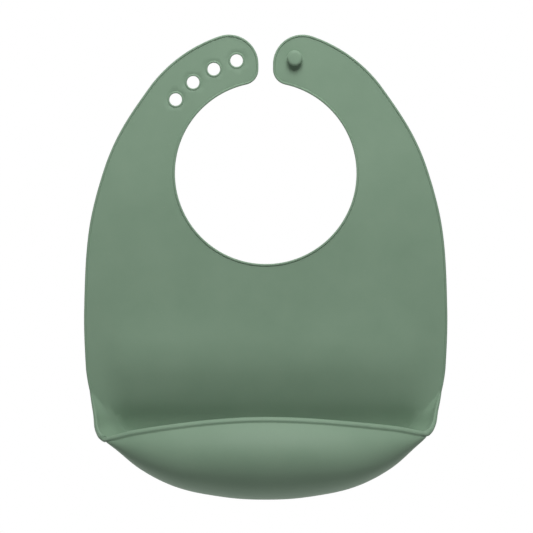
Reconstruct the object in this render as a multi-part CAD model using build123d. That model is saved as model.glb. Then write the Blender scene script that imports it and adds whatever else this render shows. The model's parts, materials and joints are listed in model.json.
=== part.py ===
"""Silicone bib with a crumb-catcher pocket, divided at the places where the moulding bends.

Millimetres. +Z points up towards the straps, the front faces -Y and +X is the stud side.
The origin is the centre of the neck opening, in the sheet's flat back face.
"""

import os
from math import cos, radians, sin

from build123d import *

# sheet
SHEET = 1.6  # thickness of the flat sheet
EDGE_HEIGHT = 2.2  # thickness of the sheet at its raised edge
EDGE_WIDTH = 1.6  # width of the raised edge
FLEX_GAP = 0.8  # gap left along each bend line
BELOW = -230.0  # a height under the whole part

# neck and straps
NECK_RADIUS = 58.5
STRAP_RADIUS = 93.2  # outer edge of the straps, about the neck's centre
STRAP_ARC_END = 52.0  # degrees from 12 o'clock where the strap starts to widen
TAB_GAP = 9.4  # between the two strap ends
TAB_OUTER_FILLET = 19.0
TAB_INNER_FILLET = 10.0
BEND_ANGLES = (122.0, 91.0, 60.0)  # bend lines of a strap, degrees from 12 o'clock
FOLD_HEIGHT = -104.0  # bend line across the apron

# side edge of the apron below the strap arc: x, z
SIDE = [(93.1, 27.9), (104.3, 2.1), (113.9, -36.6), (117.0, -88.0), (115.9, -125.0), (113.9, -139.0)]

SIDE_LEAN = 0.12  # how far the side edge leans in per millimetre down, at its last point

# closure
STUD_ANGLE = 14.2  # degrees right of 12 o'clock
STUD_RADIUS = 76.2  # about the neck's centre
CLOSURE_RADIUS = 75.0  # of the holes, about the neck's centre
HOLE_ANGLES = (14.5, 26.5, 38.6, 50.7)  # degrees left of 12 o'clock
HOLE_DIAMETER = 8.1
HOLE_RING = 1.1  # width of the raised ring round each hole
HOLE_RING_HEIGHT = 2.0
STEM_DIAMETER = 6.6
STEM_HEIGHT = 2.6
HEAD_DIAMETER = 10.0
HEAD_HEIGHT = 3.6
HEAD_ROUNDING = 1.5
HEAD_CHAMFER = 0.8

# pocket: cross-sections from the middle to the side, each a curve through or towards four points
# crease (start), pull below the crease, pull below the rim, rim (end); x, y, z
STATIONS = [
    [(0.0, -0.8, -196.0), (0.0, -1.8, -224.2), (0.0, -79.0, -200.8), (0.0, -40.0, -157.6)],
    [(25.0, -0.8, -195.0), (27.0, -1.8, -221.4), (29.0, -77.0, -200.0), (28.0, -39.0, -158.7)],
    [(50.0, -0.8, -190.2), (55.0, -2.0, -211.2), (59.0, -68.0, -197.0), (57.0, -35.5, -161.6)],
    [(71.0, -0.8, -180.6), (79.0, -2.6, -194.6), (82.5, -50.0, -188.4), (83.0, -29.0, -165.2)],
    [(86.5, -0.8, -169.6), (92.5, -3.0, -176.6), (98.6, -31.0, -175.2), (100.8, -21.4, -168.6)],
    [(95.0, -0.8, -161.6), (98.5, -1.6, -165.2), (106.2, -8.4, -165.0), (108.0, -13.4, -163.0)],
    [(102.2, -0.8, -153.4), (104.4, -1.0, -154.8), (109.2, -3.4, -153.0), (110.9, -6.4, -152.2)],
    [(108.2, -0.8, -145.4), (109.6, -0.8, -145.0), (112.1, -1.2, -143.2), (113.2, -1.6, -142.2)],
]
CREASE_EXIT = (119.0, -137.5)  # where the crease line leaves the sheet: x, z
POCKET_WALL = 1.6
RIM_RADIUS = 2.0
COLUMNS_PER_STATION = 3
ROWS = 8


def on_clock(angle, radius):
    """Point on a circle about the neck's centre, at an angle clockwise from 12 o'clock."""
    return (radius * sin(radians(angle)), radius * cos(radians(angle)))


def mirrored(points):
    """Points of the right half, mirrored and reversed to run in from the left."""
    return [(-p[0],) + tuple(p[1:]) for p in reversed(points)]


def inset_side(inset):
    """The side edge's points, moved in square to the edge."""
    before = [on_clock(STRAP_ARC_END, STRAP_RADIUS)] + SIDE[:-1]
    after = SIDE[1:] + [(SIDE[-1][0] - SIDE_LEAN, SIDE[-1][1] - 1)]
    points = []
    for (x, z), (x0, z0), (x1, z1) in zip(SIDE, before, after):
        run = Vector(x1 - x0, z1 - z0).normalized()
        points.append((x + inset * run.Y, z - inset * run.X))
    return points


def sheet_outline(inset=0.0):
    """The apron and straps as one face, before the crease cuts its bottom edge."""
    strap_radius = STRAP_RADIUS - inset
    neck_radius = NECK_RADIUS + inset
    arc_end = on_clock(STRAP_ARC_END, strap_radius)
    tangent = on_clock(STRAP_ARC_END + 90, 1)
    right_side = [arc_end] + inset_side(inset)
    end_x, end_z = right_side[-1]
    with BuildSketch(Plane.XZ) as sketch:
        with BuildLine():
            ThreePointArc((-arc_end[0], arc_end[1]), (0, strap_radius), arc_end)
            for side in (1, -1):
                ends = [(side * tangent[0], tangent[1]), (side * -SIDE_LEAN, -1)]
                Spline(*[(side * x, z) for x, z in right_side], tangents=ends)
            Polyline((end_x, end_z), (end_x - 6, BELOW), (6 - end_x, BELOW), (-end_x, end_z))
        make_face()
        Circle(neck_radius, mode=Mode.SUBTRACT)
        with Locations((0, strap_radius)):
            Rectangle(TAB_GAP + 2 * inset, strap_radius, mode=Mode.SUBTRACT)
        tab_corners = [v for v in sketch.vertices() if v.Y > 0 and abs(v.X) < TAB_GAP]
        outer = [v for v in tab_corners if v.Y > CLOSURE_RADIUS]
        inner = [v for v in tab_corners if v.Y < CLOSURE_RADIUS]
        fillet(outer, TAB_OUTER_FILLET - inset)
        fillet(inner, TAB_INNER_FILLET - inset)
    return sketch.sketch


def below_crease():
    """Everything under the pocket's crease, with half a bend gap above it."""
    crease = [(station[0][0], station[0][2]) for station in STATIONS] + [CREASE_EXIT]
    points = mirrored(crease[1:]) + crease
    with BuildSketch(Plane.XZ) as sketch:
        with BuildLine() as outline:
            edge = Spline(*points)
            Polyline(edge @ 1, (CREASE_EXIT[0], BELOW - 5), (-CREASE_EXIT[0], BELOW - 5), edge @ 0)
        make_face()
        with BuildLine() as line:
            Spline(*points)
        trace(line_width=2 * FLEX_GAP)
    return sketch.sketch


def bend_lines():
    """Thin slots where the sheet bends: three across each strap and one across the apron."""
    length = 2 * STRAP_RADIUS
    slots = []
    for side in (1, -1):
        for angle in BEND_ANGLES:
            x, z = on_clock(side * angle, NECK_RADIUS - 8 + length / 2)
            slots.append(Pos(x, 0, z) * Rot(0, side * angle, 0) * Box(FLEX_GAP, 10, length))
    slots.append(Pos(0, 0, FOLD_HEIGHT) * Box(300, 10, FLEX_GAP))
    return slots


def hole_places():
    return [on_clock(-angle, CLOSURE_RADIUS) for angle in HOLE_ANGLES]


def sheet_zones():
    """The whole sheet with its raised edge, holes and rings, cut into its zones."""
    outline = sheet_outline()
    sheet = extrude(outline, SHEET) + extrude(outline - sheet_outline(EDGE_WIDTH), EDGE_HEIGHT)
    ring_radius = HOLE_DIAMETER / 2 + HOLE_RING
    for x, z in hole_places():
        sheet += extrude(Plane.XZ * Pos(x, z) * Circle(ring_radius), HOLE_RING_HEIGHT)
    for x, z in hole_places():
        hole = Plane.XZ * Pos(x, z) * Circle(HOLE_DIAMETER / 2)
        sheet -= extrude(hole, EDGE_HEIGHT, both=True)
    sheet -= extrude(below_crease(), EDGE_HEIGHT, both=True)
    for slot in bend_lines():
        sheet -= slot
    return sheet.solids()


def zone_at(zones, x, z):
    """The zone that holds a point of the sheet."""
    spot = Vertex(x, -SHEET / 2, z)
    return min(zones, key=lambda zone: zone.distance_to(spot))


def closure_stud():
    """Round button: a stem on the tab's front face and a wider head with a rounded top edge."""
    stem = Cylinder(STEM_DIAMETER / 2, STEM_HEIGHT, align=(Align.CENTER, Align.CENTER, Align.MIN))
    head = Cylinder(HEAD_DIAMETER / 2, HEAD_HEIGHT, align=(Align.CENTER, Align.CENTER, Align.MIN))
    head = fillet(head.edges().group_by(Axis.Z)[-1], HEAD_ROUNDING)
    head = chamfer(head.edges().group_by(Axis.Z)[0], HEAD_CHAMFER)
    x, z = on_clock(STUD_ANGLE, STUD_RADIUS)
    button = stem + Pos(0, 0, STEM_HEIGHT) * head
    return Plane(origin=(x, -SHEET, z), z_dir=(0, -1, 0)) * button


def smooth(values, place, sign):
    """Catmull-Rom value at a place along a list; before its start the list is mirrored, times sign."""
    last = len(values) - 1
    index = min(int(place), last - 1)
    step = place - index
    before = values[index - 1] if index else sign * values[1]
    start, end = values[index], values[index + 1]
    after = values[index + 2] if index + 2 <= last else 2 * end - start
    slope_start, slope_end = (end - before) / 2, (after - start) / 2
    square, cube = step**2, step**3
    return (
        start * (2 * cube - 3 * square + 1)
        + slope_start * (cube - 2 * square + step)
        + end * (3 * square - 2 * cube)
        + slope_end * (cube - square)
    )


def pocket_point(across, along):
    """Point of the pocket's middle surface: across in stations (negative is left), along from crease to rim."""
    place = abs(across)
    side = -1 if across < 0 else 1
    weights = [(1 - along) ** 3, 3 * (1 - along) ** 2 * along, 3 * (1 - along) * along**2, along**3]
    point = [0.0, 0.0, 0.0]
    for pull, weight in enumerate(weights):
        for axis, sign in enumerate((-1, 1, 1)):
            values = [station[pull][axis] for station in STATIONS]
            point[axis] += weight * smooth(values, place, sign)
    return Vector(side * point[0], point[1], point[2])


def pocket_normal(across, along):
    """Unit normal of the pocket's middle surface, pointing out of the pocket."""
    step = 0.02
    along = min(max(along, step), 1 - step)
    width = pocket_point(across + step, along) - pocket_point(across - step, along)
    height = pocket_point(across, along + step) - pocket_point(across, along - step)
    return width.cross(height).normalized()


def pocket_columns():
    last = (len(STATIONS) - 1) * COLUMNS_PER_STATION
    return [step / COLUMNS_PER_STATION for step in range(-last, last + 1)]


def pocket_rim():
    path = Spline(*[pocket_point(across, 1) for across in pocket_columns()])
    return sweep(Plane(origin=path @ 0, z_dir=path % 0) * Circle(RIM_RADIUS), path=path)


def pocket_section(across, flat=False):
    """Closed outline of the wall at one place: outside, rim end, inside and crease end."""
    start, end = pocket_point(across, 0), pocket_point(across, 1)
    upright = (end - start).cross(pocket_normal(across, 0.5)).normalized()
    sides = []
    for shift in (POCKET_WALL / 2, -POCKET_WALL / 2):
        points = []
        for row in range(ROWS):
            along = row / (ROWS - 1)
            point = pocket_point(across, along) + shift * pocket_normal(across, along)
            if flat:
                point = point - upright * upright.dot(point - start)
            points.append(point)
        sides.append(points)
    outside, inside = sides
    edges = [
        Spline(*outside),
        Line(outside[-1], inside[-1]),
        Spline(*reversed(inside)),
        Line(inside[0], outside[0]),
    ]
    return Wire(edges)


def pocket_wall():
    last = len(STATIONS) - 1 - 0.05
    sections = [pocket_section(-last, flat=True)]
    for across in pocket_columns()[1:-1]:
        sections.append(pocket_section(across))
    sections.append(pocket_section(last, flat=True))
    return Solid.make_loft(sections)


def main():
    os.makedirs("parts", exist_ok=True)
    zones = sheet_zones()
    shapes = {
        "upper_apron": zone_at(zones, 0, -80),
        "lower_apron": zone_at(zones, 0, -150),
        "closure_stud": closure_stud(),
        "pocket_rim": pocket_rim(),
        "pocket_wall": pocket_wall(),
    }
    for side, name in ((1, "right"), (-1, "left")):
        for zone, angle in (("shoulder", 105), ("strap", 75), ("tab", 57)):
            x, z = on_clock(side * angle, CLOSURE_RADIUS)
            shapes[name + "_" + zone] = zone_at(zones, x, z)
    for name, shape in shapes.items():
        export_step(shape, "parts/" + name + ".step")


main()
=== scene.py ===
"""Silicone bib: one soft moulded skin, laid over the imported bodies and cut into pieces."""

import json
from math import asin, atan2, ceil, cos, degrees, pi, radians, sin

import bmesh
import bpy
import numpy as np
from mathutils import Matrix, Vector
from mathutils.geometry import delaunay_2d_cdt

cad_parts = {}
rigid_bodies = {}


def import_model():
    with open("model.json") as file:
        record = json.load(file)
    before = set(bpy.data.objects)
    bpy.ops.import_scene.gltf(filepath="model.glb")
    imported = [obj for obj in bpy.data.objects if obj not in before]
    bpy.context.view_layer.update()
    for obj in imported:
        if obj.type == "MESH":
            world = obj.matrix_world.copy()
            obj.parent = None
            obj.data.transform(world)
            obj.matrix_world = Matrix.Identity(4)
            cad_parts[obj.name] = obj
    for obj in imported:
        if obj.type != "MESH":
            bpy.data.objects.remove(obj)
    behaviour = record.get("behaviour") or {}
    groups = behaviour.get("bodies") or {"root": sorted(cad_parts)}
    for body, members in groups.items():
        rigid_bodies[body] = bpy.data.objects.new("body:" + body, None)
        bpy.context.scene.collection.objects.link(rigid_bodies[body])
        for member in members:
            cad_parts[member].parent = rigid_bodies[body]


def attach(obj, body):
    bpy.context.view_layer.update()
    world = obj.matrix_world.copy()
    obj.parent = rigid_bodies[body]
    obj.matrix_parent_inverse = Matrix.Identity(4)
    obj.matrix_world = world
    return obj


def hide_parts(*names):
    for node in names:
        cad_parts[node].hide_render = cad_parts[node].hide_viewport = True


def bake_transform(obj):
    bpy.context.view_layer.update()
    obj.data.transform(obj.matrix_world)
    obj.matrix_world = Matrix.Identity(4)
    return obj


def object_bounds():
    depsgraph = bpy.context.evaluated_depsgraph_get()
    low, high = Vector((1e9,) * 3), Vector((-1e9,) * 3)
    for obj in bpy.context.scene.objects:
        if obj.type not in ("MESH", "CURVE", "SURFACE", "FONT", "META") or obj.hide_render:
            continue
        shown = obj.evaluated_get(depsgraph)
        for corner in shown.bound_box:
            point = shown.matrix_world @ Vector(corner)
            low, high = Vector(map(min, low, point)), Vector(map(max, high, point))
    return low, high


for start_object in list(bpy.data.objects):
    bpy.data.objects.remove(start_object)
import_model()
cad_low, cad_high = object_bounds()

MM = 0.001

# Shape, in millimetres: the same driving sizes as the CAD model.
HALF_SHEET = 0.8
SHEET_MIDDLE = -0.8  # y of the sheet's middle
NECK_RADIUS = 58.5
STRAP_RADIUS = 93.2
STRAP_ARC_END = 52.0
TAB_GAP = 9.4
TAB_OUTER_FILLET = 19.0
TAB_INNER_FILLET = 10.0
SIDE = [
    (93.1, 27.9), (104.3, 2.1), (113.9, -36.6), (117.0, -88.0), (115.9, -125.0), (113.9, -139.0),
]
STUD_ANGLE = 14.2
STUD_RADIUS = 76.2
CLOSURE_RADIUS = 75.0
HOLE_ANGLES = (14.5, 26.5, 38.6, 50.7)
HOLE_RADIUS = 4.05
RIM_RADIUS = 2.0  # in the middle of the pocket

# pocket cross-sections from the middle to the side: crease, two pulls, rim; x, y, z
STATIONS = [
    [(0.0, -0.8, -196.0), (0.0, -1.8, -224.2), (0.0, -79.0, -200.8), (0.0, -40.0, -157.6)],
    [(25.0, -0.8, -195.0), (27.0, -1.8, -221.4), (29.0, -77.0, -200.0), (28.0, -39.0, -158.7)],
    [(50.0, -0.8, -190.2), (55.0, -2.0, -211.2), (59.0, -68.0, -197.0), (57.0, -35.5, -161.6)],
    [(71.0, -0.8, -180.6), (79.0, -2.6, -194.6), (82.5, -50.0, -188.4), (83.0, -29.0, -165.2)],
    [(86.5, -0.8, -169.6), (92.5, -3.0, -176.6), (98.6, -31.0, -175.2), (100.8, -21.4, -168.6)],
    [(95.0, -0.8, -161.6), (98.5, -1.6, -165.2), (106.2, -8.4, -165.0), (108.0, -13.4, -163.0)],
    [(102.2, -0.8, -153.4), (104.4, -1.0, -154.8), (109.2, -3.4, -153.0), (110.9, -6.4, -152.2)],
    [(108.2, -0.8, -145.4), (109.6, -0.8, -145.0), (112.1, -1.2, -143.2), (113.2, -1.6, -142.2)],
]

# Places across the pocket count in stations: 0 in the middle, LAST_PLACE where it runs out.
COLUMNS = (18, 18, 16, 12, 9, 7, 6, 4)  # columns of faces from each station to the next
LAST_PLACE = float(len(COLUMNS))

# Mesh fineness
EDGE_STEP = 1.6  # along the free edge
FILL_STEP = 3.4  # between the points that fill the sheet
FILL_ROWS = 0.866  # of a step, between the rows of their triangular grid
FILL_CLEAR = 0.55  # of a step, kept clear along the outline
FILL_CLEAR_HOLES = 0.4  # and round the holes
WALL_ROWS = 30
SECTION_STEPS = 160  # used to measure along a section of the pocket
RING_ANGLES = np.linspace(0, 2 * pi, 40, endpoint=False)
EDGE_INSET = 2.1  # width of the strip that the edge's profile takes
RIM_INSET = 2.9  # the same along the pocket's rim
HOLE_INSET = 1.55  # the same round a hole

# Profiles from the front face round to the back: distance in from the edge, height over the middle.
SHEET_PROFILE = [
    (1.98, 0.8), (1.74, 0.7), (1.55, 0.7), (1.42, 1.0), (1.22, 1.32), (0.9, 1.44), (0.5, 1.4),
    (0.16, 1.16), (0.0, 0.8), (-0.02, 0.2), (0.0, -0.3), (0.1, -0.58), (0.34, -0.76), (0.75, -0.8),
    (1.5, -0.8),
]
HOLE_PROFILE = [
    (1.4, 0.72), (1.24, 0.76), (1.12, 0.98), (0.86, 1.18), (0.5, 1.22), (0.15, 1.06), (0.0, 0.76),
    (0.0, -0.4), (0.08, -0.66), (0.3, -0.79), (0.8, -0.8),
]
STUD_PROFILE = [  # radius, height over the sheet
    (4.7, -0.35), (4.6, -0.02), (4.2, 0.06), (3.8, 0.2), (3.5, 0.5), (3.34, 0.95), (3.3, 1.6),
    (3.34, 2.2), (3.5, 2.45), (3.85, 2.58), (4.3, 2.64), (4.7, 2.76), (4.92, 2.98), (5.0, 3.3),
    (5.0, 3.9), (4.98, 4.5), (4.88, 5.0), (4.68, 5.42), (4.38, 5.76), (4.0, 5.98), (3.5, 6.1),
    (2.8, 6.16), (1.8, 6.19), (0.9, 6.2), (0.0, 6.2),
]
STUD_SEGMENTS = 72
STUD_SHARP = 55.0  # degrees between faces from which the stud's edges stay sharp

# The pocket's rim: a squarish bead that thins out towards the sheet's side edges.
RIM_END_RADIUS = 1.25  # at its two upper corners
RIM_FORWARD = 0.4  # how far the bead's centre stands out from the wall's middle
RIM_SQUARE = 0.72  # 1 is a circle, less is squarer
RIM_CLOSED = 0.97  # most of its radius that the bead's neck takes up
RIM_FOOT = 0.5  # how far past the bead the profile's two ends lie
RIM_FADE = 2.2  # stations over which the bead turns into the sheet's own edge
RIM_THIN_FROM = 5.9  # place where the bead has thinned to its end radius
RIM_THIN_OVER = 2.6

# Softness: how far the skin strays from the flat, even shape.
# LIFT is how far the sheet stands forward, at even steps down: a low swell above the pocket and a
# hollow behind it.
LIFT = (0.5, 0.4, 0.3, 0.15, 0.0, 0.0, 0.2, 0.8, 1.5, 1.5, 0.35, -1.3, -3.7, -3.6, -1.6, 0.0)
LIFT_TOP = -16.0
LIFT_STEP = 12.0
LIFT_ABOVE = 50.0  # it fades out over this much above its top
LIFT_SIDE_FROM, LIFT_SIDE_OVER = 88.0, 22.0  # and towards the side edges
LIFT_MORE_ASIDE, LIFT_ASIDE = 0.35, 80.0  # it grows by this share, this far from the middle
LIFT_LESS_RIGHT, LIFT_RIGHT = 0.12, 75.0  # and shrinks towards the right
LEAN = 1.7  # how much higher the rim's right end stands, and how much lower its left end
LEAN_AT = 100.0
LEAN_END, LEAN_FADE = 0.4, 2.4  # it has faded out so many stations from the end, over so many
CORNER_PINCH = 1.25  # how far the pocket's corners pull in
CORNER_PINCH_HEIGHT = (-154.0, 20.0)  # centre and half height
CORNER_PINCH_ACROSS = (72.0, 30.0)  # where it starts, and over how much it grows
BELLY_DROP = 1.4  # how far the pocket's lower flanks hang
BELLY_DROP_ACROSS = (72.0, 50.0)  # centre and half width
BELLY_DROP_BELOW = (-168.0, 18.0)  # where it starts, and over how much it grows

# Cuts, in metres and in degrees from 12 o'clock. The skin is cut in the middle of each stiff zone.
CHEST_CUT = -0.086
BELLY_CUT = -0.128
STRAP_CUTS = (137.0, 106.0, 75.5, 0.0)

# Silicone, studio and camera
BASE_DARK = (0.226, 0.348, 0.24, 1)
BASE_LIGHT = (0.25, 0.376, 0.263, 1)
DUST_TONE = (0.5, 0.53, 0.5, 1)
FLOOR_DROP = 0.05  # the bib hangs, and its pocket swings lower than at rest
FLOOR_HALF = 6.0
AMBIENT_FRONT = 0.08
AMBIENT_BELOW = 0.46
AMBIENT_BACK = 1.0
CAMERA_PLACE = (0.0005, -2.0, -0.0601)
CAMERA_LENS = 209.5


def on_clock(angle, radius):
    """Place, as x and z, at an angle clockwise from 12 o'clock round the neck's centre."""
    return np.array([radius * sin(radians(angle)), radius * cos(radians(angle))])


def unit(v):
    return v / max(np.linalg.norm(v), 1e-9)


def ease(value):
    """0 to 1 with a soft start and end, held outside."""
    value = min(max(value, 0.0), 1.0)
    return value * value * (3 - 2 * value)


def bump(value, centre, half):
    """1 at the centre, fading softly to 0 at half its width to either side."""
    return ease(1 - abs(value - centre) / half)


def hermite(start, slope_start, end, slope_end, t):
    """Cubic from start to end with given slopes, t from 0 to 1."""
    return (
        start * (2 * t**3 - 3 * t**2 + 1)
        + slope_start * (t**3 - 2 * t**2 + t)
        + end * (3 * t**2 - 2 * t**3)
        + slope_end * (t**3 - t**2)
    )


# ---------------------------------------------------------------- outline of the flat sheet


def arc(centre, radius, start, end):
    """Points of an arc, angles clockwise from 12 o'clock, end left out."""
    count = max(int(ceil(abs(radians(end - start)) * radius / EDGE_STEP)), 2)
    angles = np.linspace(start, end, count, endpoint=False)
    return [np.array(centre) + on_clock(a, radius) for a in angles]


def through(points, first_slope):
    """Smooth curve through points at the edge step, end included."""
    points = [np.array(p, float) for p in points]
    result = []
    for i in range(len(points) - 1):
        start, end = points[i], points[i + 1]
        run = np.linalg.norm(end - start)
        before = points[i - 1] if i else start - unit(np.array(first_slope)) * run
        after = points[i + 2] if i + 2 < len(points) else 2 * end - start
        slope_start = (end - before) * run / (run + np.linalg.norm(start - before))
        slope_end = (after - start) * run / (run + np.linalg.norm(after - end))
        count = max(int(ceil(run / EDGE_STEP)), 2)
        for t in np.linspace(0, 1, count, endpoint=False):
            result.append(hermite(start, slope_start, end, slope_end, t))
    return result + [points[-1]]


def right_outline():
    """The right half's free edge, from the neck's bottom, round the tab and down the side."""
    half_gap = TAB_GAP / 2
    inner_x = half_gap + TAB_INNER_FILLET
    inner_reach = NECK_RADIUS + TAB_INNER_FILLET
    inner = np.array([inner_x, (inner_reach**2 - inner_x**2) ** 0.5])
    outer_x = half_gap + TAB_OUTER_FILLET
    outer_reach = STRAP_RADIUS - TAB_OUTER_FILLET
    outer = np.array([outer_x, (outer_reach**2 - outer_x**2) ** 0.5])
    inner_angle = degrees(atan2(inner[0], inner[1]))
    outer_angle = degrees(atan2(outer[0], outer[1]))
    points = arc((0, 0), NECK_RADIUS, 180, inner_angle)
    points += arc(inner, TAB_INNER_FILLET, 180 + inner_angle, 270)
    straight = int(ceil((outer[1] - inner[1]) / EDGE_STEP))
    heights = np.linspace(inner[1], outer[1], straight, endpoint=False)
    points += [np.array([half_gap, z]) for z in heights]
    points += arc(outer, TAB_OUTER_FILLET, 270, 360 + outer_angle)
    points += arc((0, 0), STRAP_RADIUS, outer_angle, STRAP_ARC_END)
    slope = on_clock(STRAP_ARC_END + 90, 1)
    return points + through([on_clock(STRAP_ARC_END, STRAP_RADIUS)] + SIDE, slope)


def outward(points):
    """Unit vectors that point off the sheet, for an edge that keeps the sheet on its right."""
    array = np.array(points)
    run = np.gradient(array, axis=0)
    run /= np.linalg.norm(run, axis=1)[:, None]
    return np.stack([-run[:, 1], run[:, 0]], axis=1)


# ---------------------------------------------------------------- pocket surface


def smooth(values, place, sign):
    """Catmull-Rom value at a place along a list, mirrored before its start and times sign there."""
    last = len(values) - 1
    index = min(int(place), last - 1)
    t = place - index
    before = values[index - 1] if index else sign * values[1]
    start, end = values[index], values[index + 1]
    after = values[index + 2] if index + 2 <= last else 2 * end - start
    return hermite(start, (end - before) / 2, end, (after - start) / 2, t)


def pocket_stations():
    """The CAD's stations and one more, where the pocket runs out on the sheet's side edge."""
    edge = np.array([SIDE[-1][0], SHEET_MIDDLE, SIDE[-1][1]])
    inner = edge - np.array([EDGE_INSET, 0, 0])
    return STATIONS + [[tuple(inner), tuple(inner), tuple(inner), tuple(edge)]]


def pulls_at(across, stations):
    """The four points of the pocket's section at a place across, negative on the left."""
    side = -1 if across < 0 else 1
    rows = []
    for pull in range(4):
        x, y, z = (
            smooth([station[pull][axis] for station in stations], abs(across), sign)
            for axis, sign in enumerate((-1, 1, 1))
        )
        rows.append(np.array([side * x, y, z]))
    return rows


def bezier(pulls, t):
    """Point of a section, t from 0 at the crease to 1 at the rim."""
    a, b, c, d = pulls
    return (1 - t) ** 3 * a + 3 * (1 - t) ** 2 * t * b + 3 * (1 - t) * t**2 * c + t**3 * d


def pocket_places():
    """Places across the pocket, from its left end to its right end."""
    right = [i + k / n for i, n in enumerate(COLUMNS) for k in range(n)] + [LAST_PLACE]
    return [-p for p in reversed(right[1:])] + right


def rim_share(across):
    """How much of the edge's profile is the pocket's bead: 0 on the sheet, 1 along the pocket."""
    return ease((LAST_PLACE - abs(across)) / RIM_FADE)


def sheet_lift(x, z):
    """How far the soft sheet stands forward of flat."""
    place = np.clip((LIFT_TOP - z) / LIFT_STEP, 0, len(LIFT) - 1)
    above = 1 - ease((z - LIFT_TOP) / LIFT_ABOVE)
    beside = 1 - ease((abs(x) - LIFT_SIDE_FROM) / LIFT_SIDE_OVER)
    aside = 1 + LIFT_MORE_ASIDE * min(abs(x) / LIFT_ASIDE, 1)
    right = 1 - LIFT_LESS_RIGHT * x / LIFT_RIGHT
    return smooth(LIFT, place, 1) * (above * beside) * aside * right


def lean(across, x, t):
    """The soft pocket hangs a little lower on its left end than on its right."""
    fade = np.clip((LAST_PLACE - LEAN_END - abs(across)) / LEAN_FADE, 0, 1)
    return np.array([0, 0, LEAN * (x / LEAN_AT) * min(abs(x) / LEAN_AT, 1) * fade * t * t])


def pocket_columns():
    """For each place: the wall's points from the crease to the rim's strip, and the rim point."""
    stations = pocket_stations()
    columns = []
    for across in pocket_places():
        pulls = pulls_at(across, stations)
        rim = pulls[3]
        fine = [bezier(pulls, t) for t in np.linspace(0, 1, SECTION_STEPS + 1)]
        from_rim = np.linalg.norm(np.array(fine) - rim, axis=1)
        inset = EDGE_INSET + (RIM_INSET - EDGE_INSET) * rim_share(across)
        beyond = np.nonzero(from_rim >= inset)[0]
        stop = beyond[-1] / SECTION_STEPS if len(beyond) else 0.0
        follow = np.array([0, -sheet_lift(pulls[0][0], pulls[0][2]), 0])
        wall = []
        for row in range(WALL_ROWS + 1):
            t = stop * row / WALL_ROWS
            point = bezier(pulls, t) + lean(across, rim[0], t)
            wall.append(point + follow * (1 - t) ** 2 * (row > 0))
        columns.append((wall, rim + lean(across, rim[0], 1)))
    return columns


# ---------------------------------------------------------------- bead along the pocket's rim


def rim_profile(radius):
    """A squarish bead set out on the wall's outer face, with as many points as SHEET_PROFILE."""
    shift = RIM_FORWARD * radius / RIM_RADIUS
    inner = min((HALF_SHEET + shift) / radius, RIM_CLOSED) ** (1 / RIM_SQUARE)
    outer = min((HALF_SHEET - shift) / radius, RIM_CLOSED) ** (1 / RIM_SQUARE)
    first, last = degrees(asin(inner)), 360 - degrees(asin(outer))
    points = []
    for angle in np.linspace(first, last, len(SHEET_PROFILE) - 2):
        c, s = cos(radians(angle)), sin(radians(angle))
        inward = radius * np.sign(c) * abs(c) ** RIM_SQUARE
        height = radius * np.sign(s) * abs(s) ** RIM_SQUARE - shift
        points.append((inward, height))
    foot = radius + RIM_FOOT
    return [(foot, HALF_SHEET)] + points + [(foot, -HALF_SHEET)]


def edge_profile(place):
    """Profile of the free edge at a place, between the sheet's own and the bead."""
    share = rim_share(place)
    fullness = ease((RIM_THIN_FROM - abs(place)) / RIM_THIN_OVER)
    bead = rim_profile(RIM_END_RADIUS + (RIM_RADIUS - RIM_END_RADIUS) * fullness)
    return [
        ((1 - share) * flat[0] + share * full[0], (1 - share) * flat[1] + share * full[1])
        for flat, full in zip(SHEET_PROFILE, bead)
    ]


# ---------------------------------------------------------------- building the skin


class Skin:
    """Gathers the whole bib's vertices and faces."""

    def __init__(self):
        self.points = []
        self.faces = []

    def add(self, points):
        first = len(self.points)
        self.points += [tuple(p) for p in points]
        return list(range(first, first + len(points)))

    def strip(self, one, two):
        """Quads between two closed rows of vertices."""
        for i in range(len(one)):
            j = (i + 1) % len(one)
            add_face(self.faces, [one[i], one[j], two[j], two[i]])


def add_face(faces, face):
    """Add a face, without the corners that fall together."""
    face = [v for v, following in zip(face, face[1:] + face[:1]) if v != following]
    if len(set(face)) > 2:
        faces.append(face)


def fill_points(outline_points, ring_centres):
    """A triangular grid's points that lie well inside the outline and clear of the hole rings."""
    polygon = np.array(outline_points)
    low, high = polygon.min(axis=0), polygon.max(axis=0)
    rows = np.arange(low[1], high[1], FILL_STEP * FILL_ROWS)
    grid = []
    for index, z in enumerate(rows):
        shift = FILL_STEP / 2 * (index % 2)
        for x in np.arange(low[0] + shift, high[0], FILL_STEP):
            grid.append((x, z))
    grid = np.array(grid)
    keep = inside(grid, polygon)
    near = np.full(len(grid), 1e9)
    batch = 200  # corners at a time, to save memory
    for start in range(0, len(polygon), batch):
        part = polygon[start : start + batch]
        near = np.minimum(near, np.linalg.norm(grid[:, None] - part[None], axis=2).min(axis=1))
    keep &= near > FILL_STEP * FILL_CLEAR
    reach = HOLE_RADIUS + HOLE_INSET + FILL_STEP * FILL_CLEAR_HOLES
    for centre in ring_centres:
        keep &= np.linalg.norm(grid - centre, axis=1) > reach
    return [np.array(p) for p in grid[keep]]


def inside(points, polygon):
    """Even-odd test of many points against one polygon."""
    x, z = points[:, 0], points[:, 1]
    result = np.zeros(len(points), bool)
    previous = polygon[-1]
    for corner in polygon:
        crosses = (corner[1] > z) != (previous[1] > z)
        slope = (previous[0] - corner[0]) / (previous[1] - corner[1] + 1e-12)
        result ^= crosses & (x < corner[0] + slope * (z - corner[1]))
        previous = corner
    return result


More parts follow.
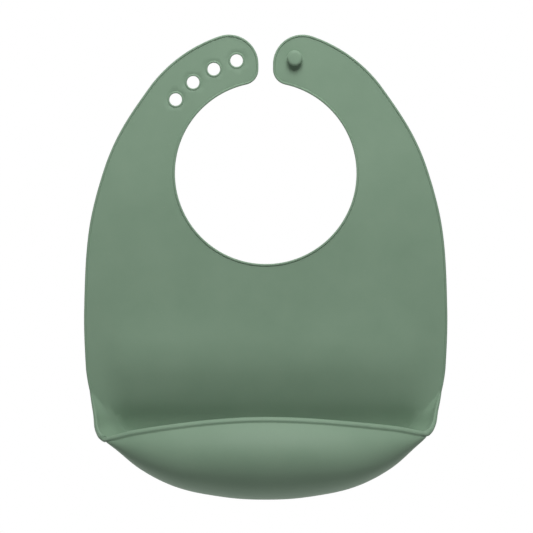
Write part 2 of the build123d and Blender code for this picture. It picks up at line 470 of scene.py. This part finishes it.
def middle_surface(edge_inset, columns, holes):
    """The middle of the sheet and the pocket's wall as one mesh: points, faces and marked rows."""
    crease = [np.array([wall[0][0], wall[0][2]]) for wall, _ in columns]
    loop = edge_inset + list(reversed(crease))[1:-1]
    reach = HOLE_RADIUS + HOLE_INSET
    rings = [[centre + reach * np.array([sin(a), cos(a)]) for a in RING_ANGLES] for centre in holes]
    flat, edges = [], []
    for closed in [loop] + rings:
        first, count = len(flat), len(closed)
        flat += closed
        edges += [(first + i, first + (i + 1) % count) for i in range(count)]
    flat += fill_points(loop, holes)
    vectors = [Vector((p[0], p[1])) for p in flat]
    out_points, _, out_faces, sources, _, _ = delaunay_2d_cdt(vectors, edges, [], 0, 1e-5)
    where = {source: new for new, old in enumerate(sources) for source in old}
    plane = np.array([(p.x, p.y) for p in out_points])
    centres = np.array([plane[list(f)].mean(axis=0) for f in out_faces])
    keep = inside(centres, np.array(loop))
    for ring in rings:
        keep &= ~inside(centres, np.array(ring))
    faces = [list(f) for f, k in zip(out_faces, keep) if k]
    points = [np.array([p[0], SHEET_MIDDLE, p[1]]) for p in plane]
    loop_row = [where[i] for i in range(len(loop))]
    edge_row = loop_row[: len(edge_inset)]
    crease_row = [edge_row[0]] + loop_row[len(edge_inset) :][::-1] + [edge_row[-1]]
    firsts = [len(loop) + k * len(RING_ANGLES) for k in range(len(rings))]
    ring_rows = [[where[first + i] for i in range(len(RING_ANGLES))] for first in firsts]
    return points, faces, edge_row, crease_row, ring_rows


def vertex_normals(points, faces):
    """Unit normals at the points, weighted by the area of the faces round each."""
    normals = np.zeros((len(points), 3))
    for face in faces:
        a, b, c = points[face[0]], points[face[1]], points[face[2]]
        normal = np.cross(b - a, c - a)
        if len(face) == 4:
            d = points[face[3]]
            normal = np.cross(c - a, d - b)
        for v in face:
            normals[v] += normal
    lengths = np.linalg.norm(normals, axis=1)
    lengths[lengths < 1e-12] = 1
    return normals / lengths[:, None]


def with_mirror(right_half):
    """A row of the right half's points, continued from its mirrored left half."""
    return [p * np.array([-1, 1]) for p in reversed(right_half[1:])] + right_half


def bib_middle(inset, columns, holes):
    """The middle surface with the pocket's wall, lifted: points, faces, edge, rim and ring rows."""
    points, faces, edge_row, crease_row, ring_rows = middle_surface(inset, columns, holes)
    for face in faces:
        a, b, c = (points[i] for i in face[:3])
        if np.cross(b - a, c - a)[1] > 0:
            face.reverse()
    for point in points:
        point[1] -= sheet_lift(point[0], point[2])
    previous = crease_row
    for row in range(1, WALL_ROWS + 1):
        first = len(points)
        points += [wall[row] for wall, _ in columns[1:-1]]
        current = [crease_row[0]] + list(range(first, len(points))) + [crease_row[-1]]
        for i in range(len(current) - 1):
            add_face(faces, [current[i], current[i + 1], previous[i + 1], previous[i]])
        previous = current
    return points, faces, edge_row, previous[::-1], ring_rows


def bib_skin():
    """The whole bib as one closed mesh, in millimetres."""
    right = right_outline()
    edge = with_mirror(right)
    inset = with_mirror([p - EDGE_INSET * off for p, off in zip(right, outward(right))])
    holes = [on_clock(-angle, CLOSURE_RADIUS) for angle in HOLE_ANGLES]
    columns = pocket_columns()
    inset[0], inset[-1] = columns[0][0][0][[0, 2]], columns[-1][0][0][[0, 2]]
    points, faces, edge_row, rim_row, ring_rows = bib_middle(inset, columns, holes)
    normals = vertex_normals(points, faces)

    skin = Skin()
    base = np.array(points)
    front = skin.add(base + HALF_SHEET * normals)
    back = skin.add(base - HALF_SHEET * normals)
    for face in faces:
        skin.faces.append([front[v] for v in face])
        skin.faces.append([back[v] for v in reversed(face)])

    # the free edge: round the straps and neck, then along the pocket's rim back to the start
    loop = edge_row + rim_row[1:-1]
    tips = [np.array([x, SHEET_MIDDLE - sheet_lift(x, z), z]) for x, z in edge]
    tips += [rim for _, rim in columns[::-1][1:-1]]
    places = [LAST_PLACE] * len(edge) + pocket_places()[::-1][1:-1]
    strips = [[] for _ in SHEET_PROFILE]
    for vertex, tip, place in zip(loop, tips, places):
        out = unit(tip - base[vertex])
        up = unit(normals[vertex] - out * np.dot(out, normals[vertex]))
        for strip, (inward, height) in zip(strips, edge_profile(place)):
            strip.append(tip - out * inward + up * height)
    rows = [[front[v] for v in loop]] + [skin.add(strip) for strip in strips]
    rows.append([back[v] for v in loop])
    for one, two in zip(rows, rows[1:]):
        skin.strip(one, two)

    for centre, ring in zip(holes, ring_rows):
        middle = np.array([centre[0], SHEET_MIDDLE - sheet_lift(*centre), centre[1]])
        rows = [[front[v] for v in ring]]
        for distance, height in HOLE_PROFILE:
            radius = HOLE_RADIUS + distance
            circle = [np.array([radius * sin(a), -height, radius * cos(a)]) for a in RING_ANGLES]
            rows.append(skin.add([middle + p for p in circle]))
        rows.append([back[v] for v in ring])
        for one, two in zip(rows, rows[1:]):
            skin.strip(two, one)
    return skin


def settled(point):
    """A point of the skin after the pocket's corners pull in and its lower flanks hang."""
    x, y, z = point
    corner_start, corner_over = CORNER_PINCH_ACROSS
    pinch = bump(z, *CORNER_PINCH_HEIGHT) * ease((abs(x) - corner_start) / corner_over)
    drop_start, drop_over = BELLY_DROP_BELOW
    drop = bump(abs(x), *BELLY_DROP_ACROSS) * ease((drop_start - z) / drop_over)
    return (x - np.sign(x) * CORNER_PINCH * pinch, y, z - BELLY_DROP * drop)


def skin_bmesh(skin):
    """The skin as a mesh in metres; a face that the profile folds onto another is left out."""
    mesh = bmesh.new()
    vertices = [mesh.verts.new(Vector(settled(p)) * MM) for p in skin.points]
    for face in skin.faces:
        try:
            mesh.faces.new([vertices[v] for v in face])
        except ValueError:
            pass
    bmesh.ops.remove_doubles(mesh, verts=mesh.verts, dist=1e-6)
    bmesh.ops.recalc_face_normals(mesh, faces=mesh.faces)
    return mesh


def add_object(name, mesh):
    data = bpy.data.meshes.new(name)
    mesh.to_mesh(data)
    mesh.free()
    obj = bpy.data.objects.new(name, data)
    bpy.context.scene.collection.objects.link(obj)
    return obj


def cut_piece(name, planes):
    """A copy of the whole skin kept on the inner side of every plane, with its cuts closed."""
    piece = whole.copy()
    for point, normal in planes:
        geometry = piece.verts[:] + piece.edges[:] + piece.faces[:]
        cut = bmesh.ops.bisect_plane(
            piece, geom=geometry, dist=1e-7, plane_co=point, plane_no=normal, clear_outer=True
        )
        edges = [e for e in cut["geom_cut"] if isinstance(e, bmesh.types.BMEdge)]
        caps = bmesh.ops.holes_fill(piece, edges=edges, sides=0)["faces"]
        for face in caps:
            for edge in face.edges:
                edge.smooth = False
    for face in piece.faces:
        face.smooth = True
    return add_object(name, piece)


def across_ray(side, angle):
    """Unit vector square to a bend line, pointing towards the neck's bottom."""
    return Vector((side * cos(radians(angle)), 0, -sin(radians(angle))))


# ---------------------------------------------------------------- pieces cut from the skin; the chest and the stud on their bodies


whole = skin_bmesh(bib_skin())
origin = Vector((0, 0, 0))
down = Vector((0, 0, -1))
chest_planes = [((0, 0, CHEST_CUT), down)]
chest_planes += [(origin, -across_ray(side, STRAP_CUTS[0])) for side in (1, -1)]
chest = cut_piece("chest_skin", chest_planes)
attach(chest, "upper_apron")
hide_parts("upper_apron")

belly = cut_piece("belly_skin", [((0, 0, CHEST_CUT), -down), ((0, 0, BELLY_CUT), down)])
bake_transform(belly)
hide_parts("lower_apron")

pocket = cut_piece("pocket_skin", [((0, 0, BELLY_CUT), -down)])
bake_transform(pocket)
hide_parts("pocket_wall", "pocket_rim")

skins = [chest, belly, pocket]
for side, name in ((1, "right"), (-1, "left")):
    bodies = ["upper_apron", name + "_shoulder", name + "_strap", name + "_tab"]
    for i, part in enumerate(("shoulder", "strap", "tab")):
        outer, inner = STRAP_CUTS[i], STRAP_CUTS[i + 1]
        planes = [(origin, across_ray(side, outer)), (origin, -across_ray(side, inner))]
        if part == "shoulder":
            planes.append(((0, 0, CHEST_CUT), down))
        piece = cut_piece(name + "_" + part + "_skin", planes)
        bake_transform(piece)
        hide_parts(bodies[i + 1])
        skins.append(piece)


def lathe(name, profile, centre):
    """A round solid on the sheet's front: profile of radius and height, up to the top's middle."""
    mesh = bmesh.new()
    x, y, z = centre
    around = np.linspace(0, 2 * pi, STUD_SEGMENTS, endpoint=False)
    rings = []
    for radius, height in profile[:-1]:
        spots = [Vector((x + radius * sin(a), y - height, z + radius * cos(a))) for a in around]
        rings.append([mesh.verts.new(spot * MM) for spot in spots])
    for one, two in zip(rings, rings[1:]):
        for i in range(STUD_SEGMENTS):
            j = (i + 1) % STUD_SEGMENTS
            mesh.faces.new((one[i], one[j], two[j], two[i]))
    top = mesh.verts.new(Vector((x, y - profile[-1][1], z)) * MM)
    for i in range(STUD_SEGMENTS):
        mesh.faces.new((rings[-1][i], rings[-1][(i + 1) % STUD_SEGMENTS], top))
    mesh.faces.new(rings[0])
    bmesh.ops.recalc_face_normals(mesh, faces=mesh.faces)
    for face in mesh.faces:
        face.smooth = True
    for edge in mesh.edges:
        if len(edge.link_faces) == 2 and edge.calc_face_angle() > radians(STUD_SHARP):
            edge.smooth = False
    return add_object(name, mesh)


stud_x, stud_z = on_clock(STUD_ANGLE, STUD_RADIUS)
stud = lathe("stud_head", STUD_PROFILE, (stud_x, 2 * SHEET_MIDDLE, stud_z))
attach(stud, "right_tab")
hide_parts("closure_stud")
skins.append(stud)


# ---------------------------------------------------------------- material


def link(tree, node, output, other, socket):
    tree.links.new(node.outputs[output], other.inputs[socket])


def silicone():
    """Matte sage-green silicone with a fine moulded grain, faint mottling and a few dust specks."""
    material = bpy.data.materials.new("silicone_sage")
    material.use_nodes = True
    tree = material.node_tree
    tree.nodes.clear()
    new = tree.nodes.new
    out = new("ShaderNodeOutputMaterial")
    shader = new("ShaderNodeBsdfPrincipled")
    link(tree, shader, "BSDF", out, "Surface")
    shader.inputs["IOR"].default_value = 1.42
    shader.inputs["Specular IOR Level"].default_value = 0.42
    shader.inputs["Sheen Weight"].default_value = 0.12
    shader.inputs["Sheen Roughness"].default_value = 0.6
    shader.inputs["Sheen Tint"].default_value = (0.9, 1.0, 0.92, 1)

    place = new("ShaderNodeTexCoord")
    mottle = new("ShaderNodeTexNoise")
    mottle.inputs["Scale"].default_value = 26
    mottle.inputs["Detail"].default_value = 4
    mottle.inputs["Roughness"].default_value = 0.6
    grain = new("ShaderNodeTexNoise")
    grain.inputs["Scale"].default_value = 1500
    grain.inputs["Detail"].default_value = 3
    specks = new("ShaderNodeTexVoronoi")
    specks.inputs["Scale"].default_value = 130
    for node in (mottle, grain, specks):
        link(tree, place, "Object", node, "Vector")

    tone = new("ShaderNodeValToRGB")
    tone.color_ramp.elements[0].position = 0.3
    tone.color_ramp.elements[0].color = BASE_DARK
    tone.color_ramp.elements[1].position = 0.7
    tone.color_ramp.elements[1].color = BASE_LIGHT
    link(tree, mottle, "Fac", tone, "Fac")

    speck_mask = new("ShaderNodeMapRange")
    speck_mask.inputs["From Min"].default_value = 0.035
    speck_mask.inputs["From Max"].default_value = 0.06
    speck_mask.inputs["To Min"].default_value = 0.1
    speck_mask.inputs["To Max"].default_value = 0.0
    link(tree, specks, "Distance", speck_mask, "Value")
    dust = new("ShaderNodeMix")
    dust.data_type = "RGBA"
    dust.inputs["B"].default_value = DUST_TONE
    link(tree, speck_mask, "Result", dust, "Factor")
    link(tree, tone, "Color", dust, "A")
    tree.links.new(dust.outputs["Result"], shader.inputs["Base Color"])

    rough = new("ShaderNodeMapRange")
    rough.inputs["To Min"].default_value = 0.5
    rough.inputs["To Max"].default_value = 0.62
    link(tree, mottle, "Fac", rough, "Value")
    link(tree, rough, "Result", shader, "Roughness")

    relief = new("ShaderNodeBump")
    relief.inputs["Strength"].default_value = 0.16
    relief.inputs["Distance"].default_value = 0.0002
    link(tree, grain, "Fac", relief, "Height")
    link(tree, relief, "Normal", shader, "Normal")
    return material


sage = silicone()
for obj in skins:
    obj.data.materials.append(sage)

# ---------------------------------------------------------------- floor, light and camera


def stage_floor():
    """A plain white floor that only the camera sees, so that it casts nothing on the bib."""
    mesh = bpy.data.meshes.new("floor")
    height = cad_low[2] - FLOOR_DROP
    square = ((-1, -1), (1, -1), (1, 1), (-1, 1))
    corners = [(x * FLOOR_HALF, y * FLOOR_HALF, height) for x, y in square]
    mesh.from_pydata(corners, [], [(0, 1, 2, 3)])
    floor = bpy.data.objects.new("floor", mesh)
    bpy.context.scene.collection.objects.link(floor)
    material = bpy.data.materials.new("floor_white")
    material.use_nodes = True
    tree = material.node_tree
    tree.nodes.clear()
    out = tree.nodes.new("ShaderNodeOutputMaterial")
    white = tree.nodes.new("ShaderNodeEmission")
    link(tree, white, "Emission", out, "Surface")
    floor.visible_diffuse = False
    floor.visible_glossy = False
    floor.visible_shadow = False
    mesh.materials.append(material)


stage_floor()


def area_light(name, location, target, width, height, power):
    """A softbox at a location, turned to its target."""
    data = bpy.data.lights.new(name, "AREA")
    data.shape = "RECTANGLE"
    data.size = width
    data.size_y = height
    data.energy = power
    light = bpy.data.objects.new(name, data)
    light.location = location
    direction = Vector(target) - Vector(location)
    light.rotation_euler = direction.to_track_quat("-Z", "Y").to_euler()
    bpy.context.scene.collection.objects.link(light)


area_light("key_softbox", (0.06, -0.76, 0.7), (0, 0, -0.08), 0.5, 0.42, 8.2)
area_light("overhead", (0, -0.2, 1.1), (0, 0, -0.1), 0.8, 0.5, 3.4)


def studio_world():
    """Seen white; as light, dim in front of the bib and bright behind it, as on a white table."""
    world = bpy.data.worlds.new("studio")
    bpy.context.scene.world = world
    world.use_nodes = True
    tree = world.node_tree
    tree.nodes.clear()
    out = tree.nodes.new("ShaderNodeOutputWorld")
    place = tree.nodes.new("ShaderNodeTexCoord")
    axes = tree.nodes.new("ShaderNodeSeparateXYZ")
    link(tree, place, "Generated", axes, "Vector")
    behind = tree.nodes.new("ShaderNodeMapRange")
    behind.inputs["From Min"].default_value = -0.05
    behind.inputs["From Max"].default_value = 0.5
    behind.inputs["To Min"].default_value = AMBIENT_FRONT
    behind.inputs["To Max"].default_value = AMBIENT_BACK
    link(tree, axes, "Y", behind, "Value")
    below = tree.nodes.new("ShaderNodeMapRange")
    below.inputs["From Min"].default_value = 0.0
    below.inputs["From Max"].default_value = -0.4
    below.inputs["To Max"].default_value = AMBIENT_BELOW
    link(tree, axes, "Z", below, "Value")
    level = tree.nodes.new("ShaderNodeMath")
    level.operation = "MAXIMUM"
    tree.links.new(behind.outputs["Result"], level.inputs[0])
    tree.links.new(below.outputs["Result"], level.inputs[1])
    lit = tree.nodes.new("ShaderNodeBackground")
    link(tree, level, "Value", lit, "Strength")
    seen = tree.nodes.new("ShaderNodeBackground")
    seen.inputs["Color"].default_value = (1, 1, 1, 1)
    path = tree.nodes.new("ShaderNodeLightPath")
    mix = tree.nodes.new("ShaderNodeMixShader")
    link(tree, path, "Is Camera Ray", mix, "Fac")
    tree.links.new(lit.outputs["Background"], mix.inputs[1])
    tree.links.new(seen.outputs["Background"], mix.inputs[2])
    link(tree, mix, "Shader", out, "Surface")


studio_world()

camera_data = bpy.data.cameras.new("camera")
camera_data.lens = CAMERA_LENS
camera = bpy.data.objects.new("camera", camera_data)
bpy.context.scene.collection.objects.link(camera)
bpy.context.scene.camera = camera
camera.location = CAMERA_PLACE
camera.rotation_euler = (pi / 2, 0, 0)
camera_data.clip_end = 50
bpy.context.scene.view_settings.view_transform = "Standard"
